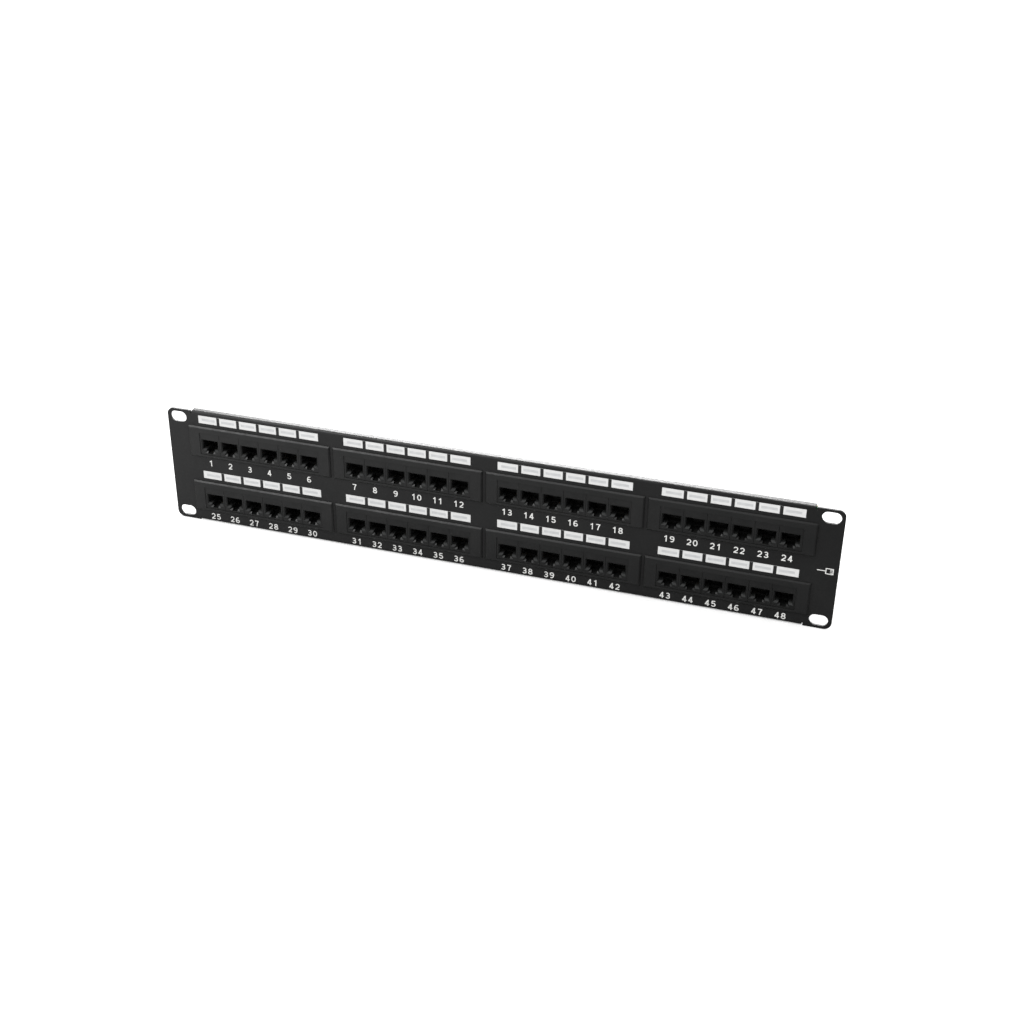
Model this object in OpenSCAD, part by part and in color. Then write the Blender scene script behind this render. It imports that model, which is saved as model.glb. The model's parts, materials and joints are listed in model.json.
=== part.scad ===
// Patch panel, 19-inch rack width, two rack units high, 48 ports in eight six-port modules.
// Frame: +X to the right seen from the front, +Z up, -Y towards the person at the rack.
// Origin: centre of the four rack slots, on the rear face of the steel sheet.

/* [Steel panel] */
// Width over both rack ears
panel_w = 482.6; // [482:0.1:483]
// Height of the panel: two rack units less a fitting gap
panel_h = 88.1; // [87.8:0.1:88.4]
// Thickness of the folded steel sheet
sheet_t = 1.5; // [1.2:0.1:1.6]
// Corner radius of the rack ears
ear_corner_r = 5; // [3:0.5:6]
// Length of the top and bottom flanges between the ears
flange_len = 444; // [440:1:446]
// Depth of the flanges, front face to rear edge
flange_depth = 5.5; // [4.5:0.5:8]
// Outer radius of the bend between face and flange
bend_r = 2; // [1.8:0.1:2.4]
// Width of the slit that frees each end of a bend
relief_w = 0.6; // [0.4:0.1:1]

/* [Rack slots] */
// Distance between slot centres across the rack
slot_spacing_x = 465.1; // [465:0.1:465.2]
// Distance between slot centres up the rack
slot_spacing_z = 76.2; // [76:0.1:76.4]
// Length of a slot, end to end
slot_len = 12.5; // [12:0.1:13]
// Height of a slot
slot_h = 8; // [7:0.1:8]

/* [Module layout] */
// Distance between neighbouring modules
module_pitch = 113.08; // [112.8:0.02:113.2]
// Height of the upper bezels' centre above the origin
upper_row_z = 20.7; // [20.5:0.1:20.9]
// Drop from the upper row to the lower row
row_drop = 44.1; // [43.9:0.1:44.3]
// Distance between neighbouring ports
port_pitch = 15.6; // [15.5:0.1:15.7]

/* [Bezel] */
// Width of a bezel
bezel_w = 111; // [110.4:0.1:111.4]
// Height of a bezel
bezel_h = 24.2; // [24:0.1:24.6]
// How far a bezel stands out from the steel
bezel_proud = 1.3; // [1.1:0.1:1.6]
// Size of the 45 degree bevel round a bezel's front
bezel_bevel = 1; // [0.6:0.1:1]
// Wall thickness of the collar behind the bezel
collar_wall = 1.4; // [1.2:0.1:1.5]
// How far the collar reaches behind the steel
collar_reach = 5; // [4:0.5:6]
// Outer width of the collar
collar_w = 107.4; // [107:0.1:107.8]

/* [Jack] */
// Width of a jack housing
jack_w = 15.4; // [15.3:0.05:15.45]
// Height of a jack housing above the top of its opening
jack_above = 5.6; // [5.2:0.1:5.7]
// Height of a jack housing below the top of its opening
jack_below = 11; // [10.8:0.1:11.2]
// Depth of a jack housing, face to circuit board
jack_depth = 15; // [14.6:0.1:16]
// How far the jack faces sit behind the bezel's face
jack_recess = 0.3; // [0.2:0.1:0.5]
// Width of the plug cavity
plug_w = 11.9; // [11.8:0.05:12]
// Height of the plug cavity
plug_h = 6.8; // [6.7:0.1:6.9]
// Depth of the plug cavity
plug_depth = 12.5; // [12:0.1:13]
// Size of the lead-in chamfer at the top and sides of the opening
lead_in = 0.8; // [0.3:0.1:0.9]
// Size of the lead-in chamfer at the sills of the opening
sill_lead_in = 1.2; // [1:0.1:1.3]

/* [Contacts] */
// Distance between neighbouring contacts in a jack
contact_pitch = 1.02; // [1:0.01:1.05]
// Width of a contact strip
contact_w = 0.5; // [0.4:0.05:0.5]
// Thickness of a contact strip
contact_t = 0.35; // [0.25:0.05:0.35]
// Slope of a free contact arm below the horizontal
arm_slope = 20; // [18:1:21]
// Length of the straight part of a contact arm
arm_len = 7.5; // [7:0.1:8]

/* [Circuit board] */
// Width of a circuit board
board_w = 105; // [104.6:0.1:108]
// Height of a circuit board
board_h = 34; // [33:0.5:36]
// Thickness of a circuit board
board_t = 1.6; // [1.4:0.1:1.8]

/* [Punch-down blocks] */
// Width of a four-pair block
block_w = 30; // [29.8:0.1:30.6]
// Thickness of a block at its foot
block_foot = 9; // [8.6:0.1:9.4]
// Thickness of a block at the tips of its teeth
block_tip = 5.2; // [4.8:0.1:6]
// Distance between neighbouring wire slots
wire_pitch = 3.6; // [3.5:0.05:3.65]
// Width of a wire slot
wire_slot_w = 1.3; // [1.2:0.1:1.4]
// Height of the teeth between pairs above the board
tall_tooth = 11.5; // [11.2:0.1:12.5]
// Height of the teeth within a pair above the board
short_tooth = 10.2; // [9.8:0.1:10.8]

/* [Label strips] */
// Width of a write-on strip, six ports wide
label_w = 93.6; // [93:0.1:93.6]
// Height of a write-on strip
label_h = 5.8; // [5.6:0.1:6]
// Thickness of a write-on strip
label_t = 0.2; // [0.1:0.05:0.3]
// Height of a strip's centre above its bezel's centre
label_up = 17.7; // [17.5:0.1:17.9]

/* [Hidden] */
columns = 4;
module_count = 8;
ports = 6;
eps = 0.01;

// Clearances between pieces
window_gap = 0.15;
jack_gap = 0.15;
catch_gap = 0.05;
comb_gap = 0.06;
clip_gap = 0.05;

// Depths along Y, counted from the rear face of the steel
bezel_face_y = -sheet_t - bezel_proud;
jack_face_y = bezel_face_y + jack_recess;
board_y = jack_face_y + jack_depth;
board_back_y = board_y + board_t;

// Heights counted from a bezel's centre
opening_top = 1.6;
jack_hi = opening_top + jack_above;
jack_lo = opening_top - jack_below;
collar_hi = jack_hi + jack_gap + collar_wall;
collar_lo = jack_lo - jack_gap - collar_wall;
screw_z = (jack_hi + jack_lo) / 2;

// Width of the hole in the bezel that the six jacks fill
jack_window_w = (ports - 1) * port_pitch + jack_w + 2 * jack_gap;
// The two posts that take the board screws
screw_x = 49.9;
post_r = 3;
pilot_r = 1.3;
pilot_depth = 8;

// Snap hooks, two above and two below each collar
hook_x = 28;
hook_w = 6;
hook_h = 0.75;
hook_land = 0.5;
hook_len = 3.5;
slit_w = 0.8;
slit_start = 0.6;

// Plug opening below its main cavity
step_w = 6.4;
step_lo = 8.4;
notch_w = 4;
notch_lo = 10;
latch_wall = 1.6;
latch_depth = 9;

// The bend where a contact turns back on itself, counted from the top of the opening at the jack's face
bend_at = [3, 0.75];
contact_bend_r = 0.7;
leg_bend_end = 190;
arm_bend_start = 195;
contacts = 8;

// Screw holes and corners of the circuit board
board_hole_r = 1.6;
board_corner_r = 1;

// Punch-down blocks
block_columns = [-2 * port_pitch, 0, 2 * port_pitch];
block_rows = [-8.5, 8.5];
wires = 8;
wire_floor = 3.5;
shoulder_h = 8.6;
block_straight = 6;
clip_t = 0.45;
clip_h = 8.2;
clip_slit = 0.35;
clip_slit_floor = 4.5;

// Board screws: pan head with a cross recess
screw_r = 1.25;
screw_len = 9;
screw_tip = 1.5;
head_r = 2.6;
head_h = 1.9;
head_rim = 0.7;
recess_len = 3;
recess_w = 0.7;
recess_depth = 1.1;

$fn = 32;

steel_black = "#2a2a2a";
bezel_black = "#242424";
jack_black = "#1c1c1c";
gold = "#c9a23a";
board_green = "#1f5a34";
block_grey = "#d9d7cf";
tin = "#b9bcc0";
label_white = "#f2f2f0";

function node_name(m, piece) = str("module_", m, "_", piece);

PIECES = [
    "bezel",
    "jack_housings",
    "contact_springs",
    "contact_legs",
    "circuit_board",
    "punchdown_blocks",
    "punchdown_clips"
];

// ---- placing ----

// Moves its children from a module's own frame to where module m sits
module at_module(m) {
    column = (m - 1) % columns;
    row = floor((m - 1) / columns);
    translate([(column - (columns - 1) / 2) * module_pitch, 0, upper_row_z - row * row_drop])
        children();
}

// Repeats its children at each port, with the origin at the top of the opening in the jack's face
module at_ports() {
    for (i = [0:ports - 1])
        translate([(i - (ports - 1) / 2) * port_pitch, jack_face_y, opening_top])
            children();
}

// Repeats its children at each contact of a jack
module at_contacts() {
    for (i = [0:contacts - 1])
        translate([(i - (contacts - 1) / 2) * contact_pitch, bend_at.x, bend_at.y])
            children();
}

// Repeats its children at the foot of each punch-down block
module at_blocks() {
    for (x = block_columns, z = block_rows)
        translate([x, board_back_y, z])
            children();
}

// Repeats its children at each wire slot of a block
module at_wires() {
    for (i = [0:wires - 1])
        translate([(i - (wires - 1) / 2) * wire_pitch, 0, 0])
            children();
}

// ---- shapes ----

// A box centred on X, given its width and its limits along Y and Z
module slab(w, y0, y1, z0, z1) {
    translate([-w / 2, y0, z0])
        cube([w, y1 - y0, z1 - z0]);
}

// A profile drawn in Y and Z, run along X and centred on it
module along_x(len) {
    rotate([90, 0, 90])
        linear_extrude(len, center = true)
            children();
}

// A profile drawn in X and Y, run along Z and centred on it
module along_z(len) {
    linear_extrude(len, center = true)
        children();
}

module rounded_rectangle(w, h, r) {
    square([w - 2 * r, h], center = true);
    square([w, h - 2 * r], center = true);
    for (sx = [-1, 1], sz = [-1, 1])
        translate([sx * (w / 2 - r), sz * (h / 2 - r)])
            circle(r);
}

module obround(len, h) {
    square([len - h, h], center = true);
    for (s = [-1, 1])
        translate([s * (len - h) / 2, 0])
            circle(h / 2);
}

// Half of a flat block's outline with its two front corners bevelled
function bevelled(half, t, b) = [
    [-half, 0],
    [-half, b - t],
    [b - half, -t],
    [half - b, -t],
    [half, b - t],
    [half, 0]
];

// A flat block with its rear face at Y = 0 and all four front edges bevelled
module bevelled_plate(w, h, t, b) {
    intersection() {
        along_z(h + 1)
            polygon(bevelled(w / 2, t, b));
        along_x(w + 1)
            polygon([for (p = bevelled(h / 2, t, b)) [p.y, p.x]]);
    }
}

// A strip of thickness t bent to centreline radius r, from angle a0 round to angle a1
module bent_strip(r, t, a0, a1) {
    far = 2 * (r + t);
    mid = (a0 + a1) / 2;
    intersection() {
        difference() {
            circle(r + t / 2);
            circle(r - t / 2);
        }
        polygon([
            [0, 0],
            far * [cos(a0), sin(a0)],
            far * [cos(mid), sin(mid)],
            far * [cos(a1), sin(a1)]
        ]);
    }
}

// ---- steel panel ----

// Front view of the flat steel: ears, slots and module windows
module sheet_outline() {
    difference() {
        rounded_rectangle(panel_w, panel_h, ear_corner_r);
        for (s = [-1, 1])
            translate([0, s * panel_h / 2])
                square([flange_len + 2 * relief_w, 2 * bend_r], center = true);
        for (sx = [-1, 1], sz = [-1, 1])
            translate([sx * slot_spacing_x / 2, sz * slot_spacing_z / 2])
                obround(slot_len, slot_h);
        for (m = [1:module_count])
            window_outline(m);
    }
}

module window_outline(m) {
    column = (m - 1) % columns;
    row = floor((m - 1) / columns);
    h = collar_hi - collar_lo + 2 * window_gap;
    x = (column - (columns - 1) / 2) * module_pitch;
    z = upper_row_z - row * row_drop + screw_z;
    translate([x, z])
        square([collar_w + 2 * window_gap, h], center = true);
}

// Side view of the bend and the flange at the top edge, drawn in Y and Z
module flange_profile() {
    inner_r = bend_r - sheet_t;
    centre = [bend_r - sheet_t, panel_h / 2 - bend_r];
    translate(centre)
        difference() {
            intersection() {
                circle(bend_r);
                translate([-bend_r, 0])
                    square(bend_r);
            }
            circle(inner_r);
        }
    translate([centre.x, panel_h / 2 - sheet_t])
        square([flange_depth - bend_r, sheet_t]);
    translate([-sheet_t, centre.y - 1])
        square([sheet_t, 1]);
}

module rack_panel() {
    color(steel_black) {
        rotate([90, 0, 0])
            linear_extrude(sheet_t)
                sheet_outline();
        for (up = [0, 1])
            mirror([0, 0, up])
                along_x(flange_len)
                    flange_profile();
    }
}

// ---- bezel ----

module bezel() {
    color(bezel_black)
        difference() {
            union() {
                translate([0, -sheet_t, 0])
                    bevelled_plate(bezel_w, bezel_h, bezel_proud, bezel_bevel);
                difference() {
                    slab(collar_w, -sheet_t - eps, collar_reach, collar_lo, collar_hi);
                    for (side = [0, 1])
                        mirror([side, 0, 0])
                            core_pocket();
                }
                at_screws(-sheet_t)
                    cylinder(h = board_y + sheet_t, r = post_r);
                at_hooks()
                    snap_hook();
            }
            slab(jack_window_w, bezel_face_y - 1, board_y, jack_lo - jack_gap, jack_hi + jack_gap);
            at_screws(board_y - pilot_depth)
                cylinder(h = pilot_depth + 1, r = pilot_r);
            at_hooks()
                hook_slits();
        }
}

// Stands its children on depth y at both board screws, pointing to the rear
module at_screws(y) {
    for (s = [-1, 1])
        translate([s * screw_x, y, screw_z])
            rotate([-90, 0, 0])
                children();
}

// The moulding is hollow around each post, open to the rear
module core_pocket() {
    inner = jack_window_w / 2 + collar_wall;
    outer = collar_w / 2 - collar_wall;
    translate([inner, 0, collar_lo + collar_wall])
        cube([outer - inner, collar_reach + 1, collar_hi - collar_lo - 2 * collar_wall]);
}

// Places its children on the outside of the collar with +Z away from the collar
module at_hooks() {
    for (s = [-1, 1]) {
        translate([s * hook_x, 0, collar_hi])
            children();
        translate([s * hook_x, 0, collar_lo])
            mirror([0, 0, 1])
                children();
    }
}

module snap_hook() {
    along_x(hook_w)
        polygon([
            [catch_gap, -collar_wall / 2],
            [catch_gap, hook_h],
            [catch_gap + hook_land, hook_h],
            [hook_len, 0],
            [hook_len, -collar_wall / 2]
        ]);
}

// Slits either side of a hook, so that its tongue can spring
module hook_slits() {
    for (s = [-1, 1])
        translate([s * (hook_w + slit_w) / 2, 0, 0])
            slab(slit_w, slit_start, collar_reach + 1, -collar_wall - eps, eps);
}

// ---- jacks ----

module jack_housings() {
    color(jack_black)
        at_ports()
            difference() {
                slab(jack_w, 0, jack_depth, -jack_below, jack_above);
                plug_cavity();
                comb_slots();
            }
}

// The stepped opening: body of the plug above, its latch below
module plug_cavity() {
    slab(plug_w, -1, plug_depth, -plug_h, 0);
    slab(step_w, -1, plug_depth, -step_lo, -plug_h + eps);
    slab(notch_w, -1, latch_wall + eps, -notch_lo, -step_lo + eps);
    slab(step_w, latch_wall, latch_depth, -notch_lo, -step_lo + eps);
    lead_in_chamfer(plug_w, -plug_h, 0);
    lead_in_chamfer(step_w, -step_lo, -lead_in);
}

// A four-sided funnel in the face, from the sill at z0 up to z1
module lead_in_chamfer(w, z0, z1) {
    c = lead_in + eps;
    s = sill_lead_in + eps;
    half = w / 2;
    intersection() {
        translate([0, 0, (z0 + z1) / 2])
            along_z(z1 - z0 + 2 * s)
                polygon([
                    [-half - c, -eps],
                    [-half, lead_in],
                    [-half, sill_lead_in],
                    [half, sill_lead_in],
                    [half, lead_in],
                    [half + c, -eps]
                ]);
        along_x(w + 2 * c)
            polygon([
                [-eps, z0 - s],
                [sill_lead_in, z0],
                [sill_lead_in, z1],
                [lead_in, z1],
                [-eps, z1 + c]
            ]);
    }
}

// Slots in the roof of the cavity that keep the contacts apart
module comb_slots() {
    slot_top = bend_at.y + contact_bend_r + contact_t / 2 + comb_gap;
    front = bend_at.x - contact_bend_r - contact_t / 2 - 2 * comb_gap;
    for (i = [0:contacts - 1])
        translate([(i - (contacts - 1) / 2) * contact_pitch, 0, 0])
            slab(contact_w + 2 * comb_gap, front, jack_depth + 1, -eps, slot_top);
}

// Free ends: the strip leaves the bend and slopes down into the cavity
module contact_springs() {
    color(gold)
        at_ports()
            at_contacts()
                along_x(contact_w)
                    rotate(-arm_slope) {
                        bent_strip(contact_bend_r, contact_t, arm_bend_start + arm_slope, 270);
                        translate([0, -contact_bend_r - contact_t / 2])
                            square([arm_len, contact_t]);
                    }
}

// Fixed ends: from the circuit board forward through the comb and round the bend
module contact_legs() {
    color(gold)
        at_ports()
            at_contacts()
                along_x(contact_w) {
                    bent_strip(contact_bend_r, contact_t, 90, leg_bend_end);
                    translate([0, contact_bend_r - contact_t / 2])
                        square([jack_depth - bend_at.x, contact_t]);
                }
}

// ---- circuit board ----

module circuit_board() {
    color(board_green)
        difference() {
            translate([0, board_back_y, 0])
                rotate([90, 0, 0])
                    linear_extrude(board_t)
                        rounded_rectangle(board_w, board_h, board_corner_r);
            at_screws(board_y - 1)
                cylinder(h = board_t + 2, r = board_hole_r);
        }
}

// ---- punch-down blocks ----

// Front view of a block: a row of pointed teeth, taller between the pairs, with a slot for each wire
function tooth(k) =
    let (
        x = (k - wires / 2) * wire_pitch,
        half = (wire_pitch - wire_slot_w) / 2,
        left = k == 0 ? -block_w / 2 : x - half,
        right = k == wires ? block_w / 2 : x + half,
        top = k % 2 == 0 ? tall_tooth : short_tooth
    )
    [[left, wire_floor], [left, shoulder_h], [(left + right) / 2, top], [right, shoulder_h], [right, wire_floor]];

function teeth() = [for (k = [0:wires]) each tooth(k)];

module block() {
    foot = block_foot / 2;
    tip = block_tip / 2;
    intersection() {
        along_z(block_foot)
            polygon(concat([[-block_w / 2, 0]], teeth(), [[block_w / 2, 0]]));
        along_x(block_w + 1)
            polygon([
                [0, -foot],
                [block_straight, -foot],
                [tall_tooth, -tip],
                [tall_tooth, tip],
                [block_straight, foot],
                [0, foot]
            ]);
    }
}

module punchdown_blocks() {
    color(block_grey)
        at_blocks()
            block();
}

// The fork of a metal clip, standing on the floor of a wire slot; it cuts through the wire's jacket
module clip() {
    half = wire_slot_w / 2 - clip_gap;
    slit = clip_slit / 2;
    along_z(clip_t)
        polygon([
            [-half, wire_floor],
            [-half, clip_h],
            [-slit, clip_h],
            [-slit, clip_slit_floor],
            [slit, clip_slit_floor],
            [slit, clip_h],
            [half, clip_h],
            [half, wire_floor]
        ]);
}

module punchdown_clips() {
    color(tin)
        at_blocks()
            at_wires()
                clip();
}

// ---- loose pieces over the whole panel ----

module label_strips() {
    color(label_white)
        for (m = [1:module_count])
            at_module(m)
                slab(label_w, -sheet_t - label_t, -sheet_t, label_up - label_h / 2, label_up + label_h / 2);
}

// One screw along +Z: its head above Z = 0, its shank below
module pan_head_screw() {
    difference() {
        union() {
            rotate_extrude()
                polygon(concat([[0, 0], [head_r, 0], [head_r, head_rim]], dome_points(), [[0, head_h]]));
            translate([0, 0, screw_tip - screw_len])
                cylinder(h = screw_len - screw_tip + eps, r = screw_r);
            translate([0, 0, -screw_len])
                cylinder(h = screw_tip, r1 = screw_r / 3, r2 = screw_r);
        }
        for (turn = [0, 90])
            rotate(turn)
                translate([-recess_len / 2, -recess_w / 2, head_h - recess_depth])
                    cube([recess_len, recess_w, recess_depth + 1]);
    }
}

// The rounded shoulder of a pan head, a quarter of an ellipse
function dome_points() = [
    for (a = [30, 60])
        [head_r * cos(a), head_rim + (head_h - head_rim) * sin(a)]
];

module board_screws() {
    color(tin)
        for (m = [1:module_count])
            at_module(m)
                at_screws(board_back_y)
                    pan_head_screw();
}

// ---- the object ----

rack_panel();
label_strips();
board_screws();
for (m = [1:module_count]) {
    at_module(m) bezel();
    at_module(m) jack_housings();
    at_module(m) contact_springs();
    at_module(m) contact_legs();
    at_module(m) circuit_board();
    at_module(m) punchdown_blocks();
    at_module(m) punchdown_clips();
}
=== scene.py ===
"""Looks for the 48-port patch panel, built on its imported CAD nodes.

The CAD nodes keep their shape and get procedural materials. Printed marks, solder joints,
board traces and colour marks are added as thin pieces. Everything is in metres, in the CAD's
frame: +X to the right seen from the front, +Z up, the jacks face -Y.
"""
import json
import math
from itertools import product

import bmesh
import bpy
from mathutils import Matrix, Vector

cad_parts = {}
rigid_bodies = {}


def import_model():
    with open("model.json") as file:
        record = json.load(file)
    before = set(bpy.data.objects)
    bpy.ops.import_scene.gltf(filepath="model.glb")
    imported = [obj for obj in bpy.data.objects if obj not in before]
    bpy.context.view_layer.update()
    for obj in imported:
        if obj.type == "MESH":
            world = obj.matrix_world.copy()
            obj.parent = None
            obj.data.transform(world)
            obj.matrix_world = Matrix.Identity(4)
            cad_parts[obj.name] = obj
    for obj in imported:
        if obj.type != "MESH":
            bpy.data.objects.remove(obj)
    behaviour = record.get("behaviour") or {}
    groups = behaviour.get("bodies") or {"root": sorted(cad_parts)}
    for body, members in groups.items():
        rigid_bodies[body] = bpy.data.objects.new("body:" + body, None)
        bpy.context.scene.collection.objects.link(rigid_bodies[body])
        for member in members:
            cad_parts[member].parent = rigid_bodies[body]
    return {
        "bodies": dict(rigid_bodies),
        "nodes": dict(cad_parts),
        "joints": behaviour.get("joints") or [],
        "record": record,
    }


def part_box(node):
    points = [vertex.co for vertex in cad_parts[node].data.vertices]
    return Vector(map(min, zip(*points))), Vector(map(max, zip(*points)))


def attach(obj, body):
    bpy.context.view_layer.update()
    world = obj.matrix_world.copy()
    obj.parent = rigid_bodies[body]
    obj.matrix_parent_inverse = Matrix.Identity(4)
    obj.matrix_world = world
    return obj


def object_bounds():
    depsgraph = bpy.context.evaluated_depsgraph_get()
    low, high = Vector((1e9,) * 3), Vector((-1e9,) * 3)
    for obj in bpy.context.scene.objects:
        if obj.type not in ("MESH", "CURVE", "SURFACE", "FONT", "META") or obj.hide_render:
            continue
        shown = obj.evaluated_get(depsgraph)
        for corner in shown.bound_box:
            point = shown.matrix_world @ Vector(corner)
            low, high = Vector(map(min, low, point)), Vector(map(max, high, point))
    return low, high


MM = 0.001
BODY = "panel_assembly"
MODULES = range(1, 9)
FIRST_LOWER_MODULE = 5
PORTS = 6
PORT_PITCH = 15.6 * MM
CONTACTS = 8
CONTACT_PITCH = 1.02 * MM

# Label strips: height above a bezel's centre, and the print on them
LABEL_UP = 17.7 * MM
LABEL_H = 5.8 * MM
DIVIDER_W = 2.3 * MM
WRITING_W = 10.5 * MM
WRITING_H = 1.8 * MM

# Port numbers: height above a bezel's centre in each row. They sit a little left of their ports
NUMBER_UP = {"upper": -16.6 * MM, "lower": -16.2 * MM}
NUMBER_H = 4.7 * MM
NUMBER_SHIFT = -1.0 * MM

# Sign on the right ear: distance from the panel's edge, and height of its centre
EAR_MARK_IN = 8 * MM
EAR_MARK_UP = -0.5 * MM
EAR_MARK_LINE = 0.55 * MM

# Rear of a board: heights above a bezel's centre
PIN_UP = 3.05 * MM
BLOCK_UP = 8.5 * MM
REAR_NUMBER_UP = 15.1 * MM
REAR_NUMBER_H = 2.2 * MM

# Punch-down blocks: two rows of three on each board, eight wires or four pairs in each
BLOCK_COLUMNS = (-1, 0, 1)
BLOCK_ROWS = (1, -1)
BLOCK_PITCH = 2 * PORT_PITCH
BLOCK_W = 30 * MM
BLOCK_FOOT = 9 * MM
BLOCK_FRAME_GAP = 0.4 * MM
BLOCK_FRAME_LINE = 0.2 * MM
WIRE_PITCH = 3.6 * MM
PAIR_COLOURS = ("blue", "orange", "green", "brown")
PAIR_MARK_W = 2.6 * MM
PAIR_MARK_START = 1.2 * MM
PAIR_MARK_END = 4.4 * MM

# Copper traces: every second one turns down, one step below the one before, and jogs aside
TRACE_W = 0.3 * MM
TRACE_T = 0.02 * MM
TRACE_FIRST_JOG = 1.6 * MM
TRACE_JOG_STEP = 0.5 * MM
TRACE_SHIFT = 1.1 * MM

# Solder joint: radius and height of each ring, from the board to the pin's tip
SOLDER_RINGS = (
    (0.46 * MM, 0),
    (0.40 * MM, 0.05 * MM),
    (0.30 * MM, 0.14 * MM),
    (0.24 * MM, 0.30 * MM),
    (0.21 * MM, 0.45 * MM),
    (0.17 * MM, 0.47 * MM),
    (0.15 * MM, 0.85 * MM),
    (0.09 * MM, 0.92 * MM),
)
SOLDER_SIDES = 10

# Thickness of printed ink
INK = 0.03 * MM

# Shape of the printed digits, as parts of their height
STROKE_W = 0.15
DIGIT_W = 0.70
DIGIT_STEP = 0.90
ARC_STEP_DEGREES = 15
SAME_POINT = 1e-6

# Noise lies mostly between these values
NOISE_RANGE = (0.3, 0.7)

# Gloss varies in patches this many times smaller than a surface's clouds of colour
GLOSS_FINER = 7

# Ink: its darkest tone as a part of its colour, and how far its roughness varies
INK_DARKEST = 0.86
INK_ROUGH_VARIES = 0.06

# Painted shade: dark surfaces lose their gloss in gaps narrower than about this, so that gaps and
# holes look shaded. Openness is the part of the surroundings that a point sees, and gloss goes with it
GAP_REACH = 4.5 * MM
GAP_SAMPLES = 6
GAP_OPENNESS = (0.35, 0.85)
GAP_SHADE_GLOSS = (0.03, 0.5)

# Painted light on the sill of each jack's mouth, where light from above falls on up-facing surfaces
# near the front: heights above a bezel's centre, and where it fades in depth
SILL_LIGHT_HEIGHTS = (-6.7 * MM, -4.8 * MM)
SILL_LIGHT_DEPTHS = (4.2 * MM, -1.2 * MM)
LEVEL_ENOUGH = 0.3

# Contacts are tinned behind this depth, and gold in front of it
TINNED_BEHIND = 9 * MM

# Circuit board: copper areas per metre and the gap between them, as a part of an area. A surface
# that faces front or back more than this is lacquered, and the others are cut edges
COPPER_SCALE = 90
COPPER_GAP = 0.012
LACQUERED_ABOVE = 0.5

# Moulded and folded edges are never quite sharp: width of the rounding on each kind of node
EDGE_ROUNDING = {
    "rack_panel": 0.25 * MM,
    "bezel": 0.2 * MM,
    "jack_housings": 0.12 * MM,
    "punchdown_blocks": 0.15 * MM,
}
ROUNDED_ABOVE_DEGREES = 40
WELD_REACH = 0.001 * MM

NODE_MATERIALS = {
    "rack_panel": "powder",
    "label_strips": "film",
    "board_screws": "screw",
    "bezel": "bezel",
    "jack_housings": "jack",
    "contact_springs": "gold",
    "contact_legs": "gold",
    "circuit_board": "board",
    "punchdown_blocks": "block",
    "punchdown_clips": "clip",
}

# Surroundings: brightness as light, and as reflections see them, from left to right
WORLD_LIGHT = 1.1
WORLD_REFLECTION = (0.62, 0.09)
WORLD_FADE = (-0.8, 0.3)

# Floor: its colours, the painted falloff of light that reflections see on it from left to right, and
# its own glow for the camera
FLOOR_SIZE = 12
FLOOR_GAP = 0.3 * MM
FLOOR_DARK = (0.90, 0.90, 0.90)
FLOOR_LIGHT = (0.93, 0.93, 0.93)
FLOOR_CLOUD = 0.4
FLOOR_REFLECTION = ((0.42, 0.42, 0.42), (0.04, 0.04, 0.04))
FLOOR_FADE = (-0.32, 0.30)
FLOOR_LIFT = 0.22
WHITE = (1, 1, 1, 1)

# Camera: where it looks from, as angles about its target
CAMERA_AZIMUTH = math.radians(17.7)
CAMERA_ELEVATION = math.radians(28.1)
CAMERA_ROLL = math.radians(0.8)
CAMERA_TARGET = Vector((19.8 * MM, 0, 4 * MM))
CAMERA_DISTANCE = 973 * MM
CAMERA_LENS = 50
CAMERA_SENSOR = 36
CAMERA_NEAR = 0.01
CAMERA_FAR = 50


# ---- material nodes ----

def new_material(name):
    """An empty node material: its tree, its main shader and the object's own coordinates."""
    material = bpy.data.materials.new(name)
    material.use_nodes = True
    tree = material.node_tree
    shader = tree.nodes["Principled BSDF"]
    coords = tree.nodes.new("ShaderNodeTexCoord").outputs["Object"]
    return material, tree, shader, coords


def mapped(tree, coords, **settings):
    """Coordinates that are stretched or turned by a mapping node's settings."""
    node = tree.nodes.new("ShaderNodeMapping")
    for key, value in settings.items():
        node.inputs[key].default_value = value
    tree.links.new(coords, node.inputs["Vector"])
    return node.outputs["Vector"]


def noise(tree, coords, size, detail=3.0, stretch=None):
    """Noise whose features are about size metres across."""
    node = tree.nodes.new("ShaderNodeTexNoise")
    node.inputs["Scale"].default_value = 1 / size
    node.inputs["Detail"].default_value = detail
    if stretch:
        coords = mapped(tree, coords, Scale=stretch)
    tree.links.new(coords, node.inputs["Vector"])
    return node.outputs["Fac"]


def ramp(tree, value, low, high, span=NOISE_RANGE):
    """A colour that runs from low to high while value runs over span."""
    node = tree.nodes.new("ShaderNodeValToRGB")
    for element, position, colour in zip(node.color_ramp.elements, span, (low, high)):
        element.position = position
        element.color = (*colour, 1)
    tree.links.new(value, node.inputs["Fac"])
    return node.outputs["Color"]


def rescale(tree, value, source, target=(0, 1)):
    """A number that runs over target while value runs over source, and stays at its ends beyond."""
    node = tree.nodes.new("ShaderNodeMapRange")
    names = ("From Min", "From Max", "To Min", "To Max")
    for name, number in zip(names, (*source, *target)):
        node.inputs[name].default_value = number
    tree.links.new(value, node.inputs["Value"])
    return node.outputs["Result"]


def calculate(tree, operation, *values):
    """The result of a math node. Each value is a socket or a plain number."""
    node = tree.nodes.new("ShaderNodeMath")
    node.operation = operation
    for socket, value in zip(node.inputs, values):
        if isinstance(value, (int, float)):
            socket.default_value = value
        else:
            tree.links.new(value, socket)
    return node.outputs["Value"]


def mix(tree, factor, first, second):
    """Blends two colour sockets."""
    node = tree.nodes.new("ShaderNodeMix")
    node.data_type = "RGBA"
    tree.links.new(factor, node.inputs["Factor"])
    tree.links.new(first, node.inputs["A"])
    tree.links.new(second, node.inputs["B"])
    return node.outputs["Result"]


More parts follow.
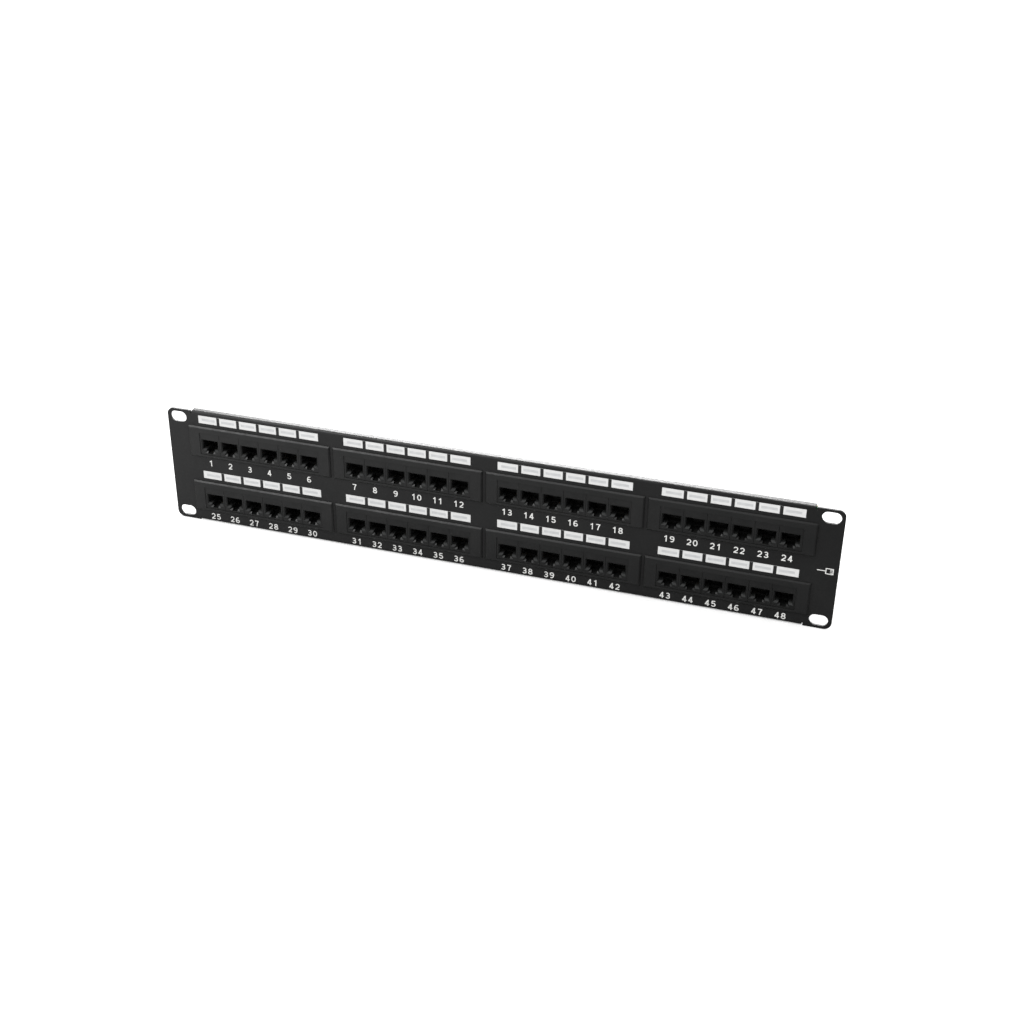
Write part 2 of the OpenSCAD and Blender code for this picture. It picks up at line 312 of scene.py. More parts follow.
def part_of(tree, vector, axis):
    """One axis of a vector socket."""
    node = tree.nodes.new("ShaderNodeSeparateXYZ")
    tree.links.new(vector, node.inputs["Vector"])
    return node.outputs[axis]


def normal_part(tree, axis):
    """One axis of the surface's direction."""
    normal = tree.nodes.new("ShaderNodeNewGeometry").outputs["Normal"]
    return part_of(tree, normal, axis)


def ray_kind(tree, kind):
    """1 for light paths of this kind, such as glossy reflections."""
    return tree.nodes.new("ShaderNodeLightPath").outputs[kind]


def add_bump(tree, shader, height, depth, below=None):
    """Raises the surface by height times depth metres, on top of an earlier bump."""
    node = tree.nodes.new("ShaderNodeBump")
    node.inputs["Strength"].default_value = 1
    node.inputs["Distance"].default_value = depth
    tree.links.new(height, node.inputs["Height"])
    if below:
        tree.links.new(below, node.inputs["Normal"])
    tree.links.new(node.outputs["Normal"], shader.inputs["Normal"])
    return node.outputs["Normal"]


def dull_gaps(tree, shader, sill_light=None):
    """Painted shade: takes the gloss off surfaces that lie in gaps and holes, so that they look
    shaded, and off the sills' painted light.
    """
    ao_openness = tree.nodes.new("ShaderNodeAmbientOcclusion")
    ao_openness.samples = GAP_SAMPLES
    ao_openness.inputs["Distance"].default_value = GAP_REACH
    shaded_gloss = rescale(tree, ao_openness.outputs["AO"], GAP_OPENNESS, GAP_SHADE_GLOSS)
    if sill_light:
        off_sill_light = calculate(tree, "SUBTRACT", 1, sill_light)
        shaded_gloss = calculate(tree, "MULTIPLY", shaded_gloss, off_sill_light)
    tree.links.new(shaded_gloss, shader.inputs["Specular IOR Level"])


# ---- materials ----

def solid_surface(name, dark, light, rough, grain, depth, patch=30 * MM, gap_shade=False,
                  **settings):
    """A coated or moulded surface: cloudy colour, uneven gloss, a fine grain in the bump, and painted
    shade in gaps if asked.
    """
    material, tree, shader, coords = new_material(name)
    cloud = noise(tree, coords, patch)
    uneven = noise(tree, coords, patch / GLOSS_FINER)
    fine = noise(tree, coords, grain, detail=2.0)
    tree.links.new(ramp(tree, cloud, dark, light), shader.inputs["Base Color"])
    tree.links.new(rescale(tree, uneven, NOISE_RANGE, rough), shader.inputs["Roughness"])
    add_bump(tree, shader, fine, depth)
    # Painted shade: gloss taken off in gaps and holes
    if gap_shade:
        dull_gaps(tree, shader)
    for key, value in settings.items():
        shader.inputs[key.replace("_", " ")].default_value = value
    return material


def powder_coat():
    """Satin black powder coat with a soft orange peel under its fine grain."""
    material, tree, shader, coords = new_material("powder_coat_black")
    cloud = noise(tree, coords, 40 * MM)
    black = ramp(tree, cloud, low=(0.0075, 0.0075, 0.0078), high=(0.0105, 0.0105, 0.0105))
    tree.links.new(black, shader.inputs["Base Color"])
    rough = rescale(tree, noise(tree, coords, 2 * MM), NOISE_RANGE, target=(0.44, 0.53))
    tree.links.new(rough, shader.inputs["Roughness"])
    peel = add_bump(tree, shader, noise(tree, coords, 1.1 * MM), depth=0.035 * MM)
    grain = noise(tree, coords, 0.25 * MM, detail=1.0)
    add_bump(tree, shader, grain, depth=0.006 * MM, below=peel)
    # Painted shade: gloss taken off in gaps, such as those between the bezels
    dull_gaps(tree, shader)
    return material


def jack_plastic(row_heights):
    """Black plastic, with painted light on each mouth's sills: paler and matt on up-facing surfaces
    near the front, where light from above falls, in streaks.
    """
    material, tree, shader, coords = new_material("jack_plastic_black")
    cloud = noise(tree, coords, 9 * MM)
    black = ramp(tree, cloud, low=(0.007, 0.0073, 0.0073), high=(0.011, 0.011, 0.011))
    # Painted light: the colour of the lit sills
    sill_light_colour = ramp(tree, cloud, low=(0.041, 0.042, 0.042), high=(0.043, 0.044, 0.044))

    # The lower row is folded onto the upper one, so that one band of heights serves both
    upper, lower = row_heights
    drop = upper - lower
    height = part_of(tree, coords, "Z")
    in_row = calculate(tree, "WRAP", height, upper + drop / 2, upper - drop / 2)
    low, high = SILL_LIGHT_HEIGHTS
    sill = calculate(tree, "COMPARE", in_row, upper + (low + high) / 2, (high - low) / 2)
    level = calculate(tree, "GREATER_THAN", normal_part(tree, "Z"), LEVEL_ENOUGH)
    near = rescale(tree, part_of(tree, coords, "Y"), SILL_LIGHT_DEPTHS)
    streak_noise = noise(tree, coords, 0.8 * MM, stretch=(1, 0.25, 1))
    sill_light_streaks = rescale(tree, streak_noise, NOISE_RANGE, target=(0.7, 1.0))
    on_sill = calculate(tree, "MULTIPLY", sill, level)
    how_much = calculate(tree, "MULTIPLY", near, sill_light_streaks)
    sill_light = calculate(tree, "MULTIPLY", on_sill, how_much)

    # Painted light: paler on the up-facing sills near the mouth, fading with depth
    tree.links.new(mix(tree, sill_light, black, sill_light_colour), shader.inputs["Base Color"])
    rough = rescale(tree, sill_light, source=(0, 1), target=(0.42, 0.8))
    tree.links.new(rough, shader.inputs["Roughness"])
    add_bump(tree, shader, noise(tree, coords, 0.3 * MM, detail=2.0), depth=0.008 * MM)
    dull_gaps(tree, shader, sill_light)
    return material


def contact_metal():
    """Gold where the plug touches, tin towards the circuit board."""
    material, tree, shader, coords = new_material("contact_gold")
    tarnish = noise(tree, coords, 1.5 * MM)
    gold = ramp(tree, tarnish, low=(0.72, 0.48, 0.14), high=(0.86, 0.63, 0.25))
    tin = ramp(tree, tarnish, low=(0.56, 0.57, 0.58), high=(0.7, 0.7, 0.69))
    far_end = calculate(tree, "GREATER_THAN", part_of(tree, coords, "Y"), TINNED_BEHIND)
    tree.links.new(mix(tree, far_end, gold, tin), shader.inputs["Base Color"])
    shader.inputs["Metallic"].default_value = 1
    lines = noise(tree, coords, 0.12 * MM, stretch=(1, 0.08, 1))
    rough = rescale(tree, lines, NOISE_RANGE, target=(0.18, 0.34))
    tree.links.new(rough, shader.inputs["Roughness"])
    add_bump(tree, shader, lines, depth=0.003 * MM)
    return material


def bright_metal(name, dark, light, grain, rough, stretch=None):
    """Plated or cast metal with fine marks in its finish."""
    material, tree, shader, coords = new_material(name)
    tone = ramp(tree, noise(tree, coords, 2 * MM), dark, light)
    tree.links.new(tone, shader.inputs["Base Color"])
    shader.inputs["Metallic"].default_value = 1
    marks = noise(tree, coords, grain, stretch=stretch)
    tree.links.new(rescale(tree, marks, NOISE_RANGE, rough), shader.inputs["Roughness"])
    add_bump(tree, shader, marks, depth=0.006 * MM)
    return material


def copper_areas(tree, coords):
    """Brick pattern for the copper that shows faintly through the lacquer, laid flat on the board."""
    copper = tree.nodes.new("ShaderNodeTexBrick")
    copper.inputs["Color1"].default_value = (0.006, 0.085, 0.026, 1)
    copper.inputs["Color2"].default_value = (0.012, 0.125, 0.04, 1)
    copper.inputs["Mortar"].default_value = (0.003, 0.05, 0.017, 1)
    copper.inputs["Scale"].default_value = COPPER_SCALE
    copper.inputs["Mortar Size"].default_value = COPPER_GAP
    flat = mapped(tree, coords, Rotation=(math.radians(90), 0, 0))
    tree.links.new(flat, copper.inputs["Vector"])
    return copper


def solder_mask():
    """Green lacquer over faint copper areas, with bare glass fibre at the board's cut edges."""
    material, tree, shader, coords = new_material("solder_mask_green")
    copper = copper_areas(tree, coords)
    fibre = noise(tree, coords, 0.35 * MM, stretch=(0.2, 1, 0.2))
    cut = ramp(tree, fibre, low=(0.30, 0.25, 0.09), high=(0.48, 0.42, 0.2))
    facing = calculate(tree, "ABSOLUTE", normal_part(tree, "Y"))
    lacquered = calculate(tree, "GREATER_THAN", facing, LACQUERED_ABOVE)
    surface = mix(tree, lacquered, cut, copper.outputs["Color"])
    tree.links.new(surface, shader.inputs["Base Color"])
    rough = rescale(tree, noise(tree, coords, 3 * MM), NOISE_RANGE, target=(0.22, 0.34))
    tree.links.new(rough, shader.inputs["Roughness"])
    shader.inputs["Coat Weight"].default_value = 0.4
    shader.inputs["Coat Roughness"].default_value = 0.12
    weave = add_bump(tree, shader, noise(tree, coords, 0.9 * MM, detail=1.0), depth=0.01 * MM)
    add_bump(tree, shader, copper.outputs["Fac"], depth=0.02 * MM, below=weave)
    return material


def ink(name, colour, rough=0.5):
    """Screen-printed ink: a little uneven in tone, and matt."""
    dark = tuple(INK_DARKEST * c for c in colour)
    span = (rough - INK_ROUGH_VARIES, rough + INK_ROUGH_VARIES)
    return solid_surface(name, dark, colour, span, grain=0.12 * MM, depth=0.004 * MM, patch=4 * MM)


def make_materials(row_heights):
    """Every material, by the name the pieces ask for."""
    return {
        "powder": powder_coat(),
        "jack": jack_plastic(row_heights),
        "gold": contact_metal(),
        "board": solder_mask(),
        # The bezels get painted shade in their gaps
        "bezel": solid_surface(
            "bezel_plastic_black", dark=(0.0085, 0.009, 0.009), light=(0.0125, 0.0125, 0.0125),
            rough=(0.4, 0.5), grain=0.18 * MM, depth=0.014 * MM, gap_shade=True),
        "block": solid_surface(
            "block_plastic_ivory", dark=(0.52, 0.50, 0.44), light=(0.60, 0.585, 0.525),
            rough=(0.34, 0.46), grain=0.35 * MM, depth=0.008 * MM, patch=12 * MM,
            Subsurface_Weight=0.12, Subsurface_Scale=0.8 * MM),
        "film": solid_surface(
            "label_film_white", dark=(0.59, 0.59, 0.585), light=(0.635, 0.635, 0.63),
            rough=(0.3, 0.42), grain=0.5 * MM, depth=0.006 * MM, patch=6 * MM),
        "clip": bright_metal(
            "clip_tinned", dark=(0.55, 0.56, 0.57), light=(0.72, 0.72, 0.71),
            grain=0.2 * MM, rough=(0.24, 0.38), stretch=(1, 0.15, 1)),
        "screw": bright_metal(
            "screw_zinc", dark=(0.50, 0.52, 0.55), light=(0.68, 0.67, 0.62),
            grain=0.15 * MM, rough=(0.26, 0.42)),
        "solder": bright_metal(
            "solder_bright", dark=(0.60, 0.61, 0.62), light=(0.78, 0.78, 0.77),
            grain=0.4 * MM, rough=(0.16, 0.34)),
        "trace": ink("trace_green", (0.03, 0.24, 0.075), rough=0.25),
        "white": ink("ink_white", (0.74, 0.74, 0.72)),
        "black": ink("ink_black", (0.016, 0.016, 0.016)),
        "grey": ink("ink_grey", (0.52, 0.525, 0.53)),
        "blue": ink("ink_blue", (0.03, 0.12, 0.5)),
        "orange": ink("ink_orange", (0.75, 0.22, 0.02)),
        "green": ink("ink_green", (0.03, 0.28, 0.07)),
        "brown": ink("ink_brown", (0.14, 0.055, 0.02)),
    }


# ---- CAD nodes ----

def kind_of(node):
    """A node's name without its module number."""
    return node.split("_", 2)[2] if node.startswith("module_") else node


def bezel_centre(module):
    """Middle of a module's bezel."""
    low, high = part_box(f"module_{module}_bezel")
    return (low + high) / 2


def round_edges(obj, width):
    """Softens the sharp edges of a CAD node with modifiers, so that they catch the light."""
    weld = obj.modifiers.new("weld", "WELD")
    weld.merge_threshold = WELD_REACH
    bevel = obj.modifiers.new("edge_rounding", "BEVEL")
    bevel.width = width
    bevel.segments = 2
    bevel.limit_method = "ANGLE"
    bevel.angle_limit = math.radians(ROUNDED_ABOVE_DEGREES)
    bevel.use_clamp_overlap = True
    bevel.harden_normals = False


def dress_nodes(nodes, materials):
    """Gives every CAD node its material and rounds the edges that show."""
    for name, obj in nodes.items():
        kind = kind_of(name)
        obj.data.materials.clear()
        obj.data.materials.append(materials[NODE_MATERIALS[kind]])
        if kind in EDGE_ROUNDING:
            round_edges(obj, EDGE_ROUNDING[kind])


# ---- shapes of the added pieces ----

def add_piece(name, mesh, place):
    """Puts a mesh into the scene as a piece that rides on the panel."""
    obj = bpy.data.objects.new(name, mesh)
    bpy.context.scene.collection.objects.link(obj)
    obj.location = place
    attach(obj, BODY)


def finish_mesh(bm, name, *materials):
    """Turns a bmesh into a mesh with these materials."""
    bmesh.ops.recalc_face_normals(bm, faces=bm.faces)
    mesh = bpy.data.meshes.new(name)
    bm.to_mesh(mesh)
    bm.free()
    for material in materials:
        mesh.materials.append(material)
    return mesh


def add_slab(bm, bottom, top, material):
    """A closed slab between two outlines that have the same number of points."""
    rings = [[bm.verts.new(point) for point in outline] for outline in (bottom, top)]
    faces = [bm.faces.new(rings[0]), bm.faces.new(rings[1][::-1])]
    count = len(bottom)
    for i in range(count):
        j = (i + 1) % count
        faces.append(bm.faces.new((rings[0][i], rings[1][i], rings[1][j], rings[0][j])))
    for face in faces:
        face.material_index = material


def add_print(bm, outline, y0, y1, material=0):
    """A slab between depths y0 and y1, from a convex outline of (x, z) points."""
    add_slab(bm, *[[(x, y, z) for x, z in outline] for y in (y0, y1)], material)


def add_side_print(bm, outline, z0, z1, material):
    """A slab between heights z0 and z1, from a convex outline of (x, y) points."""
    add_slab(bm, *[[(x, y, z) for x, y in outline] for z in (z0, z1)], material)


def rectangle(x, z, w, h):
    """Outline of a rectangle about its centre."""
    left, right = x - w / 2, x + w / 2
    low, high = z - h / 2, z + h / 2
    return [(left, low), (right, low), (right, high), (left, high)]


def frame_bars(x, z, w, h, line):
    """Four bars that make the outline of a rectangle, line wide, without overlapping."""
    side = h - 2 * line
    return [
        rectangle(x, z + (h - line) / 2, w, line),
        rectangle(x, z - (h - line) / 2, w, line),
        rectangle(x - (w - line) / 2, z, line, side),
        rectangle(x + (w - line) / 2, z, line, side),
    ]


def bar_between(p, q, w):
    """Outline of a straight bar of width w from p to q."""
    along = (Vector(q) - Vector(p)).normalized()
    across = Vector((-along.y, along.x)) * w / 2
    corners = (Vector(p) - across, Vector(q) - across, Vector(q) + across, Vector(p) + across)
    return [tuple(c) for c in corners]


def port_x(i):
    """Distance of port i, 0 to 5, from its module's centre."""
    return (i - (PORTS - 1) / 2) * PORT_PITCH


def contact_x(i, k):
    """Distance of contact k, 0 to 7, of port i from its module's centre."""
    return port_x(i) + (k - (CONTACTS - 1) / 2) * CONTACT_PITCH


# ---- printed digits ----

def arc(x, z, rx, rz, start, end):
    """Points along an ellipse about (x, z), from start to end degrees. 0 is right and 90 is up."""
    count = max(4, int(abs(end - start) / ARC_STEP_DEGREES))
    angles = [math.radians(start + (end - start) * i / count) for i in range(count + 1)]
    return [(x + rx * math.cos(a), z + rz * math.sin(a)) for a in angles]


def digit_strokes():
    """Centre lines of plain digits, one unit high. A stroke that ends where it starts is a ring."""
    six = [
        arc(0.35, 0.30, 0.26, 0.215, 0, 360),
        arc(0.40, 0.46, 0.31, 0.455, 62, 180) + [(0.09, 0.33)],
    ]
    return {
        "0": [arc(0.35, 0.5, 0.26, 0.415, 0, 360)],
        "1": [
            [(0.42, 0), (0.42, 1)],
            [(0.40, 0.87), (0.15, 0.71)],
        ],
        "2": [
            arc(0.35, 0.66, 0.25, 0.255, 165, -38) + [(0.13, 0.12)],
            [(0.05, 0.085), (0.64, 0.085)],
        ],
        "3": [
            arc(0.34, 0.705, 0.22, 0.21, 152, -90) + [(0.24, 0.495)],
            [(0.26, 0.505)] + arc(0.34, 0.295, 0.26, 0.21, 90, -155),
        ],
        "4": [
            [(0.47, 0), (0.47, 1)],
            [(0.03, 0.28), (0.67, 0.28)],
            [(0.44, 0.92), (0.10, 0.27)],
        ],
        "5": [
            [(0.13, 0.915), (0.60, 0.915)],
            [(0.185, 0.97), (0.125, 0.50)],
            arc(0.34, 0.33, 0.27, 0.245, 138, -155),
        ],
        "6": six,
        "7": [
            [(0.06, 0.915), (0.66, 0.915)],
            [(0.62, 0.93), (0.42, 0.52), (0.31, 0)],
        ],
        "8": [
            arc(0.35, 0.715, 0.215, 0.20, 0, 360),
            arc(0.35, 0.29, 0.26, 0.205, 0, 360),
        ],
        "9": [[(DIGIT_W - x, 1 - z) for x, z in stroke] for stroke in six],
    }


def stroke_sides(points, ring):
    """The left and right side of a ribbon at each point of its centre line, mitred at the bends."""
    count = len(points)
    sides = []
    for i, point in enumerate(points):
        ways = []
        if ring or i > 0:
            ways.append((Vector(point) - Vector(points[i - 1])).normalized())
        if ring or i < count - 1:
            ways.append((Vector(points[(i + 1) % count]) - Vector(point)).normalized())
        along = sum(ways, Vector((0, 0))).normalized()
        reach = STROKE_W / 2 / along.dot(ways[0])
        across = Vector((-along.y, along.x)) * reach
        sides.append((Vector(point) + across, Vector(point) - across))
    return sides


def stroke_mesh(points):
    """A ribbon of even width along points, one unit thick, from y = 0 to y = 1."""
    ring = math.dist(points[0], points[-1]) < SAME_POINT
    if ring:
        points = points[:-1]
    bm = bmesh.new()
    rows = []
    for pair in stroke_sides(points, ring):
        rows.append([bm.verts.new((side.x, y, side.y)) for side in pair for y in (0, 1)])
    links = list(zip(rows, rows[1:]))
    if ring:
        links.append((rows[-1], rows[0]))
    for a, b in links:
        for i, j in ((0, 1), (1, 3), (3, 2), (2, 0)):
            bm.faces.new((a[i], a[j], b[j], b[i]))
    if not ring:
        for row in (rows[0], rows[-1]):
            bm.faces.new((row[0], row[1], row[3], row[2]))
    return finish_mesh(bm, "stroke")


def digit_mesh(strokes):
    """One digit as a single closed solid, made by joining its strokes."""
    parts = [bpy.data.objects.new("stroke", stroke_mesh(line)) for line in strokes]
    for part in parts:
        bpy.context.scene.collection.objects.link(part)
    for other in parts[1:]:
        join = parts[0].modifiers.new("join", "BOOLEAN")
        join.operation = "UNION"
        join.solver = "EXACT"
        join.object = other
    scene_now = bpy.context.evaluated_depsgraph_get()
    mesh = bpy.data.meshes.new_from_object(parts[0].evaluated_get(scene_now))
    for part in parts:
        bpy.data.objects.remove(part)
    return mesh


def number_mesh(digits, items, height, material, rear=False):
    """Printed numbers in one mesh: items are (number, x, z), with x and z at the number's centre."""
    bm = bmesh.new()
    for number, x, z in items:
        text = str(number)
        total = DIGIT_STEP * (len(text) - 1) + DIGIT_W
        for i, digit in enumerate(text):
            mesh = digits[digit].copy()
            start = DIGIT_STEP * i - total / 2
            mesh.transform(Matrix.Translation((start, 0, -0.5)))
            mesh.transform(Matrix.Diagonal((height, INK, height, 1)))
            if rear:
                mesh.transform(Matrix.Rotation(math.pi, 4, "Z"))
                mesh.transform(Matrix.Translation((x, INK, z)))
            else:
                mesh.transform(Matrix.Translation((x, -INK, z)))
            bm.from_mesh(mesh)
            bpy.data.meshes.remove(mesh)
    return finish_mesh(bm, "numbers", material)


# ---- front prints ----

def port_number_mesh(m, digits, material):
    """The six port numbers under one module, 1 to 48 over the panel."""
    up = NUMBER_UP["upper" if m < FIRST_LOWER_MODULE else "lower"]
    items = [((m - 1) * PORTS + i + 1, port_x(i) + NUMBER_SHIFT, up) for i in range(PORTS)]
    return number_mesh(digits, items, NUMBER_H, material)


def label_print_mesh(materials):
    """Dark bars between the six fields of a label strip, and a pale writing line in each field."""
    bm = bmesh.new()
    for i in range(PORTS - 1):
        add_print(bm, rectangle(port_x(i) + PORT_PITCH / 2, 0, DIVIDER_W, LABEL_H), -INK, 0)
    for i in range(PORTS):
        add_print(bm, rectangle(port_x(i), 0, WRITING_W, WRITING_H), -INK, 0, material=1)
    return finish_mesh(bm, "label_print", materials["black"], materials["grey"])


def ear_mark_mesh(material):
    """A generic sign for a plug and its cable: a frame with three contacts, and a line to its left."""
    frame = frame_bars(x=2.2 * MM, z=0, w=5.2 * MM, h=4.4 * MM, line=EAR_MARK_LINE)
    contacts = [rectangle(x=3.3 * MM, z=k * 1.1 * MM, w=1.6 * MM, h=0.4 * MM) for k in (-1, 0, 1)]
    cable = rectangle(x=-3.2 * MM, z=0, w=5.4 * MM, h=EAR_MARK_LINE)
    bm = bmesh.new()
    for bar in (*frame, *contacts, cable):
        add_print(bm, bar, -INK, 0)
    return finish_mesh(bm, "ear_mark", material)


# ---- rear details ----

def add_solder_joint(bm, x):
    """A concave cone of solder round a pin."""
    rings = []
    for r, y in SOLDER_RINGS:
        turns = [2 * math.pi * t / SOLDER_SIDES for t in range(SOLDER_SIDES)]
        rings.append([bm.verts.new((x + r * math.cos(a), y, PIN_UP + r * math.sin(a))) for a in turns])
    for low, high in zip(rings, rings[1:]):
        for t in range(SOLDER_SIDES):
            u = (t + 1) % SOLDER_SIDES
            bm.faces.new((low[t], low[u], high[u], high[t])).smooth = True
    bm.faces.new(rings[0])
    bm.faces.new(rings[-1][::-1])


def solder_joint_mesh(material):
    """Eight soldered contact tails behind each port."""
    bm = bmesh.new()
    for i, k in product(range(PORTS), range(CONTACTS)):
        add_solder_joint(bm, contact_x(i, k))
    return finish_mesh(bm, "solder_joints", material)


def trace_path(i, k):
    """Where a contact's trace runs: up to the upper block, or aside and down to the lower one."""
    x = contact_x(i, k)
    block_edge = BLOCK_UP - BLOCK_FOOT / 2
    if k % 2 == 0:
        return [(x, PIN_UP), (x, block_edge)]
    jog = PIN_UP - TRACE_FIRST_JOG - TRACE_JOG_STEP * (k // 2)
    aside = x + (TRACE_SHIFT if i % 2 == 0 else -TRACE_SHIFT)
    return [(x, PIN_UP), (x, jog), (aside, jog - TRACE_SHIFT), (aside, -block_edge)]


def trace_mesh(material):
    """Copper traces under the lacquer, from each contact's tail to a block."""
    bm = bmesh.new()
    for i, k in product(range(PORTS), range(CONTACTS)):
        path = trace_path(i, k)
        for p, q in zip(path, path[1:]):
            add_print(bm, bar_between(p, q, TRACE_W), 0, TRACE_T)
    return finish_mesh(bm, "board_traces", material)


def silkscreen_mesh(m, digits, material):
    """White print on the board's rear: a frame round each block and the port number it serves."""
    frame_w = BLOCK_W + 2 * BLOCK_FRAME_GAP
    frame_h = BLOCK_FOOT + 2 * BLOCK_FRAME_GAP
    number = (m - 1) * PORTS
    numbers = []
    bars = []
    for column, side in product(BLOCK_COLUMNS, BLOCK_ROWS):
        x = BLOCK_PITCH * column
        number += 1
        numbers.append((number, x, side * REAR_NUMBER_UP))
        bars += frame_bars(x, side * BLOCK_UP, frame_w, frame_h, BLOCK_FRAME_LINE)
    mesh = number_mesh(digits, numbers, REAR_NUMBER_H, material, rear=True)
    bm = bmesh.new()
    bm.from_mesh(mesh)
    bpy.data.meshes.remove(mesh)
    for bar in bars:
        add_print(bm, bar, 0, INK)
    return finish_mesh(bm, "silkscreen", material)


def pair_colour_mesh(materials):
    """Colour marks on both long sides of each block: a coloured and a white one for each pair."""
    colours = ("white", *PAIR_COLOURS)
    mark_y = (PAIR_MARK_START + PAIR_MARK_END) / 2
    mark_h = PAIR_MARK_END - PAIR_MARK_START
    bm = bmesh.new()
    for column, side, wall in product(BLOCK_COLUMNS, BLOCK_ROWS, (-1, 1)):
        z = side * BLOCK_UP + wall * BLOCK_FOOT / 2
        for i, colour in enumerate(PAIR_COLOURS):
            middle = BLOCK_PITCH * column + (1.5 - i) * 2 * WIRE_PITCH
            marks = [(middle - WIRE_PITCH / 2, colour), (middle + WIRE_PITCH / 2, "white")]
            for x, tone in marks:
                mark = rectangle(x, mark_y, PAIR_MARK_W, mark_h)
                add_side_print(bm, mark, z, z + wall * INK, colours.index(tone))
    return finish_mesh(bm, "pair_colours", *[materials[c] for c in colours])


def add_details(materials):
    """All printed marks, solder and traces, module by module."""
    panel_low, panel_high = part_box("rack_panel")
    strip_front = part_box("label_strips")[0].y
    board_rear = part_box("module_1_circuit_board")[1].y
    label_print = label_print_mesh(materials)
    joints = solder_joint_mesh(materials["solder"])
    traces = trace_mesh(materials["trace"])
    colours = pair_colour_mesh(materials)
    digits = {digit: digit_mesh(strokes) for digit, strokes in digit_strokes().items()}
    for m in MODULES:
        centre = bezel_centre(m)
        front = (centre.x, panel_low.y, centre.z)
        label = (centre.x, strip_front, centre.z + LABEL_UP)
        rear = (centre.x, board_rear, centre.z)
        numbers = port_number_mesh(m, digits, materials["white"])
        silkscreen = silkscreen_mesh(m, digits, materials["white"])
        add_piece(f"port_numbers_{m}", numbers, front)
        add_piece(f"label_print_{m}", label_print, label)
        add_piece(f"solder_joints_{m}", joints, rear)
        add_piece(f"board_traces_{m}", traces, rear)
        add_piece(f"pair_colours_{m}", colours, rear)
        add_piece(f"silkscreen_{m}", silkscreen, rear)
    ear = (panel_high.x - EAR_MARK_IN, panel_low.y, EAR_MARK_UP)
    add_piece("ear_mark", ear_mark_mesh(materials["white"]), ear)


# ---- stage, light and camera ----

def floor_material():
    """White, and reflections see it with painted light that fades towards the right, like a table lit
    from the left.
    """
    material, tree, shader, coords = new_material("floor_white")
    white = ramp(tree, noise(tree, coords, FLOOR_CLOUD), FLOOR_DARK, FLOOR_LIGHT)
    across = rescale(tree, part_of(tree, coords, "X"), FLOOR_FADE)
    # Painted light: what reflections see of the floor is darker towards the right
    painted_falloff = ramp(tree, across, *FLOOR_REFLECTION, span=(0, 1))
    seen = mix(tree, ray_kind(tree, "Is Glossy Ray"), white, painted_falloff)
    tree.links.new(seen, shader.inputs["Base Color"])
    lift = calculate(tree, "MULTIPLY", ray_kind(tree, "Is Camera Ray"), FLOOR_LIFT)
    shader.inputs["Emission Color"].default_value = WHITE
    tree.links.new(lift, shader.inputs["Emission Strength"])
    shader.inputs["Roughness"].default_value = 0.8
    add_bump(tree, shader, noise(tree, coords, 4 * MM), depth=0.02 * MM)
    return material


def add_floor(level):
    """A wide pale floor just below the object."""
    bm = bmesh.new()
    bmesh.ops.create_grid(bm, x_segments=2, y_segments=2, size=FLOOR_SIZE)
    floor = bpy.data.objects.new("floor", finish_mesh(bm, "floor", floor_material()))
    floor.location = (0, 0, level)
    bpy.context.scene.collection.objects.link(floor)


def add_area_light(name, place, target, size, power, only=None):
    """A square soft light that faces target. With only, it lights that object and no other."""
    data = bpy.data.lights.new(name, "AREA")
    data.size = size
    data.energy = power
    light = bpy.data.objects.new(name, data)
    light.location = place
    aim = Vector(target) - Vector(place)
    light.rotation_mode = "QUATERNION"
    light.rotation_quaternion = aim.to_track_quat("-Z", "Y")
    if only:
        lit = bpy.data.collections.new(f"lit_by_{name}")
        lit.objects.link(only)
        light.light_linking.receiver_collection = lit
    bpy.context.scene.collection.objects.link(light)


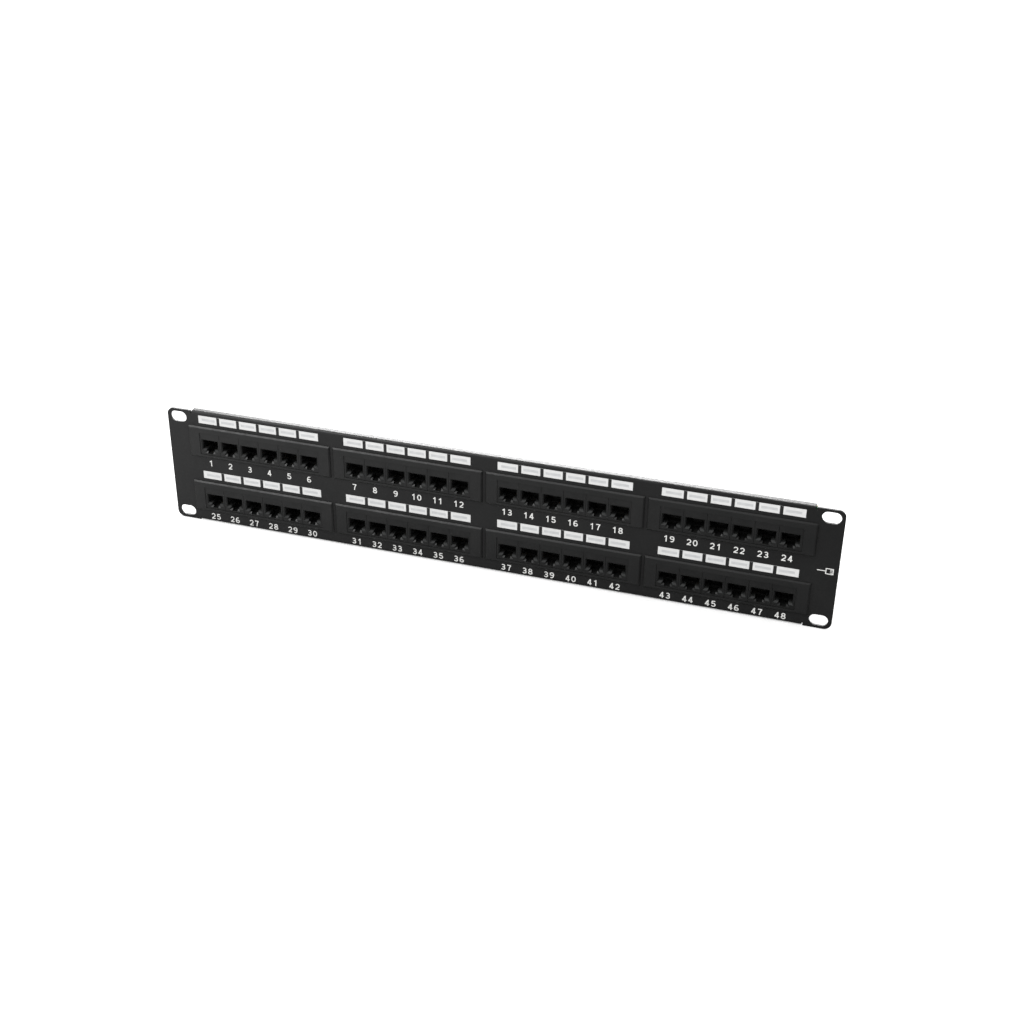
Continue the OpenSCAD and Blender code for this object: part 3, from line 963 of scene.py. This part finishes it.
def add_lights(panel):
    """A soft key from the left, a strong one for the sheet's top edge alone, and a weak one behind."""
    edge_top = (0, 0, 0.04)
    add_area_light("key", place=(-1.05, -0.7, 1.55), target=(-0.1, 0, 0), size=0.9, power=17)
    add_area_light("edge", place=(-0.45, 1.5, 0.85), target=edge_top, size=1.1, power=60, only=panel)
    add_area_light("rear", place=(0.7, 1.1, 1.2), target=(0, 0, 0), size=0.9, power=14)


def add_world():
    """Even white surroundings, which reflections see as brighter on the left than on the right."""
    world = bpy.data.worlds.new("studio")
    bpy.context.scene.world = world
    world.use_nodes = True
    tree = world.node_tree
    background = tree.nodes["Background"]
    background.inputs["Color"].default_value = WHITE
    direction = tree.nodes.new("ShaderNodeTexCoord").outputs["Generated"]
    reflected = rescale(tree, part_of(tree, direction, "X"), WORLD_FADE, WORLD_REFLECTION)
    choose = tree.nodes.new("ShaderNodeMix")
    choose.inputs["A"].default_value = WORLD_LIGHT
    tree.links.new(ray_kind(tree, "Is Glossy Ray"), choose.inputs["Factor"])
    tree.links.new(reflected, choose.inputs["B"])
    tree.links.new(choose.outputs["Result"], background.inputs["Strength"])


def add_camera():
    """The camera, to the right of the panel and above it."""
    level = math.cos(CAMERA_ELEVATION)
    back = Vector((math.sin(CAMERA_AZIMUTH) * level,
                   -math.cos(CAMERA_AZIMUTH) * level,
                   math.sin(CAMERA_ELEVATION)))
    data = bpy.data.cameras.new("camera")
    data.lens = CAMERA_LENS
    data.sensor_width = CAMERA_SENSOR
    data.clip_start = CAMERA_NEAR
    data.clip_end = CAMERA_FAR
    camera = bpy.data.objects.new("camera", data)
    bpy.context.scene.collection.objects.link(camera)
    camera.rotation_mode = "QUATERNION"
    aim = (-back).to_track_quat("-Z", "Y").to_matrix() @ Matrix.Rotation(CAMERA_ROLL, 3, "Z")
    camera.rotation_quaternion = aim.to_quaternion()
    camera.location = CAMERA_TARGET + back * CAMERA_DISTANCE
    bpy.context.scene.camera = camera


def main():
    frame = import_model()
    cad_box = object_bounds()
    row_heights = (bezel_centre(1).z, bezel_centre(FIRST_LOWER_MODULE).z)
    materials = make_materials(row_heights)
    dress_nodes(frame["nodes"], materials)
    add_details(materials)

    add_floor(cad_box[0].z - FLOOR_GAP)
    add_world()
    add_lights(frame["nodes"]["rack_panel"])
    add_camera()
    bpy.context.scene.view_settings.view_transform = "Standard"


main()
